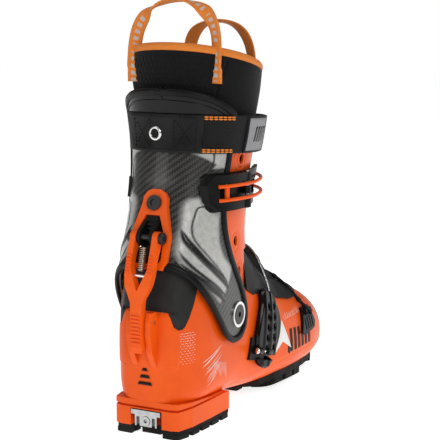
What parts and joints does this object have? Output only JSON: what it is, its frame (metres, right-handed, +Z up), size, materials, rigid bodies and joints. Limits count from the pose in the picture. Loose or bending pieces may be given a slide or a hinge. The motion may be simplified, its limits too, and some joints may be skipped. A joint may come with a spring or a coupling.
{
  "type": "alpine touring boot",
  "caption": "Right-foot touring ski boot: rigid shell with hinged carbon cuff, ski/walk lever, two buckles, power strap, removable liner and binding fittings at toe and heel.",
  "frame": {"origin": "on the floor, under the middle of the heel tread", "axes": "+X towards the toe, +Y towards the inner side of the right foot, +Z up; the buckles are on the outer side, -Y"},
  "size_m": [0.3043, 0.1204, 0.3629],
  "materials": {
    "orange_plastic": "glossy orange polyamide",
    "dark_plastic": "dark grey satin",
    "black_gloss": "glossy black",
    "black_matte": "fine-grained black",
    "carbon": "clear-coated carbon twill",
    "tread_rubber": "black outsole rubber",
    "cover_rubber": "smooth black rubber",
    "steel": "brushed",
    "bright_steel": "polished",
    "spring_steel": "wire",
    "black_steel": "black",
    "board": "matt",
    "liner_fabric": "black knit",
    "binding_tape": "orange woven tape",
    "webbing": "orange webbing with a grey woven pattern",
    "strap_fabric": "black webbing",
    "strap_patch": "black coated fabric",
    "label": "grey woven label"
  },
  "bodies": {
    "shell": {"lower_shell": "orange_plastic", "ankle_panel": "dark_plastic", "heel_block": "orange_plastic", "heel_tread": "tread_rubber", "forefoot_tread": "tread_rubber", "heel_insert": "steel", "heel_insert_screw": "steel", "toe_insert": "steel", "heel_ears": "orange_plastic", "boot_board": "board", "footbed": "liner_fabric", "liner_foot": "liner_fabric", "instep_cover": "cover_rubber", "tongue_base": "orange_plastic", "lock_bar": "steel", "ankle_bolts": "black_steel", "lower_buckle_base": "black_matte", "instep_cable": "steel", "front_hook": "black_matte", "cable_guide": "black_matte"},
    "cuff": {"cuff_carbon": "carbon", "cuff_edge": "black_matte", "cuff_collar": "black_gloss", "ankle_rings": "bright_steel", "tongue": "orange_plastic", "spine_frame": "orange_plastic", "spine_bolt": "black_steel", "lock_bracket": "black_matte", "lever_axle": "black_steel", "upper_buckle_base": "black_matte", "upper_buckle_rivets": "black_steel", "upper_catch": "black_matte", "liner_shaft": "liner_fabric", "liner_band": "binding_tape", "rear_loop": "webbing", "front_loop": "webbing", "power_strap": "strap_fabric", "strap_patch": "strap_patch", "strap_grommet": "bright_steel", "strap_flap": "label"},
    "lock_lever": {"lock_lever": "orange_plastic", "spring_pin": "bright_steel", "lever_spring": "spring_steel"},
    "upper_lever": {"upper_buckle_lever": "black_matte", "upper_buckle_pins": "steel"},
    "upper_bail": {"upper_bail": "orange_plastic"},
    "lower_lever": {"lower_buckle_lever": "black_gloss", "lower_buckle_pin": "bright_steel"}
  },
  "joints": [
    {"name": "cuff_hinge", "type": "hinge", "parent": "shell", "child": "cuff", "pos_m": [0.038, 0, 0.094], "axis": [0, 1, 0], "range_deg": [-8, 12]},
    {"name": "ski_walk_lever", "type": "hinge", "parent": "cuff", "child": "lock_lever", "pos_m": [-0.034, 0, 0.169], "axis": [0, 1, 0], "range_deg": [0, 115]},
    {"name": "upper_buckle", "type": "hinge", "parent": "cuff", "child": "upper_lever", "pos_m": [0.04, -0.0552, 0.203], "axis": [0, 0, 1], "range_deg": [0, 105]},
    {"name": "upper_bail_hinge", "type": "hinge", "parent": "upper_lever", "child": "upper_bail", "pos_m": [0.01304, -0.04884, 0.203], "axis": [0, 0, 1], "range_deg": [-105, 0]},
    {"name": "lower_buckle", "type": "hinge", "parent": "shell", "child": "lower_lever", "pos_m": [0.079, -0.0536, 0.052], "axis": [0.9703, 0, -0.2419], "range_deg": [0, 115]}
  ],
  "couplings": [
    {"joint": "upper_bail_hinge", "follows": "upper_buckle", "ratio": -1}
  ]
}
